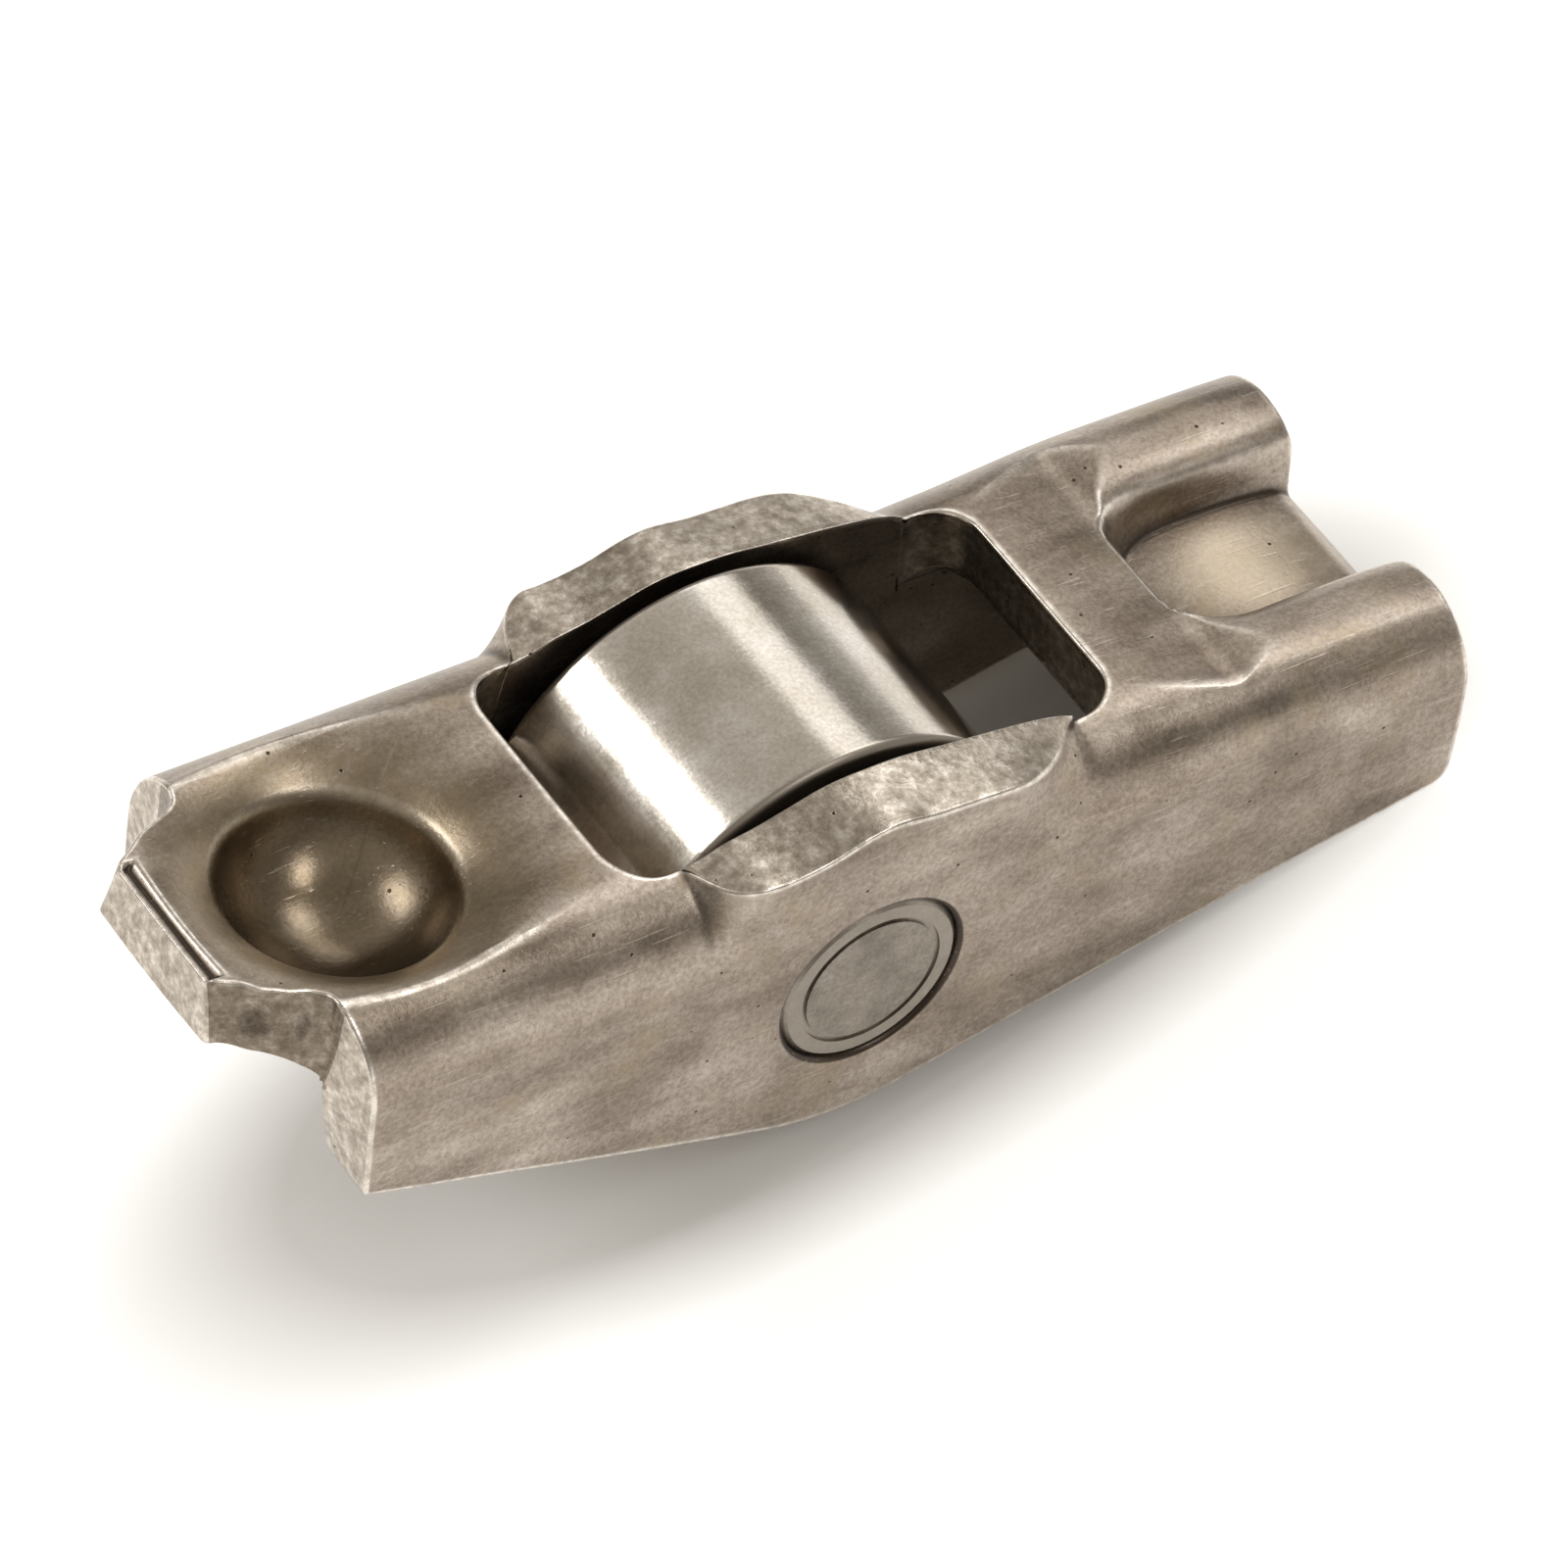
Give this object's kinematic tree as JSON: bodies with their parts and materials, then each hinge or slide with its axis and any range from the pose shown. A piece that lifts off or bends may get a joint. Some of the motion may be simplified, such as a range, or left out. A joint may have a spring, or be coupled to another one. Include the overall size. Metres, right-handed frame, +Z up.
{
  "type": "rocker arm",
  "caption": "Stamped steel roller finger rocker arm with a ball socket at one end, a crowned valve pad between ridges at the other and a cam roller on needles in the middle",
  "frame": {"origin": "bottom centre of the box around the arm as it lies at rest, web up, on the roller and the valve end", "axes": "+X towards the valve end, +Y along the roller's pin, +Z up; the arm's web is pitched about +Y with the valve end low"},
  "size_m": [0.0472, 0.0154, 0.0215],
  "materials": {
    "arm_steel": "satin, case hardened, tumbled",
    "pin_steel": "fine ground",
    "roller_steel": "ground and polished",
    "needle_steel": "ground and polished"
  },
  "bodies": {
    "arm": {"arm_body": "arm_steel", "axle_pin": "pin_steel"},
    "roller": {"roller_ring": "roller_steel"},
    "needles": {"needle_01": "needle_steel", "needle_02": "needle_steel", "needle_03": "needle_steel", "needle_04": "needle_steel", "needle_05": "needle_steel", "needle_06": "needle_steel", "needle_07": "needle_steel", "needle_08": "needle_steel", "needle_09": "needle_steel", "needle_10": "needle_steel", "needle_11": "needle_steel", "needle_12": "needle_steel", "needle_13": "needle_steel", "needle_14": "needle_steel", "needle_15": "needle_steel", "needle_16": "needle_steel", "needle_17": "needle_steel"}
  },
  "joints": [
    {"name": "roller_spin", "type": "hinge", "parent": "arm", "child": "roller", "pos_m": [-0.00142, 0, 0.0081], "axis": [0, 1, 0], "continuous": true},
    {"name": "needle_orbit", "type": "hinge", "parent": "arm", "child": "needles", "pos_m": [-0.00142, 0, 0.0081], "axis": [0, 1, 0], "continuous": true}
  ],
  "couplings": [
    {"joint": "needle_orbit", "follows": "roller_spin", "ratio": 0.5938}
  ]
}
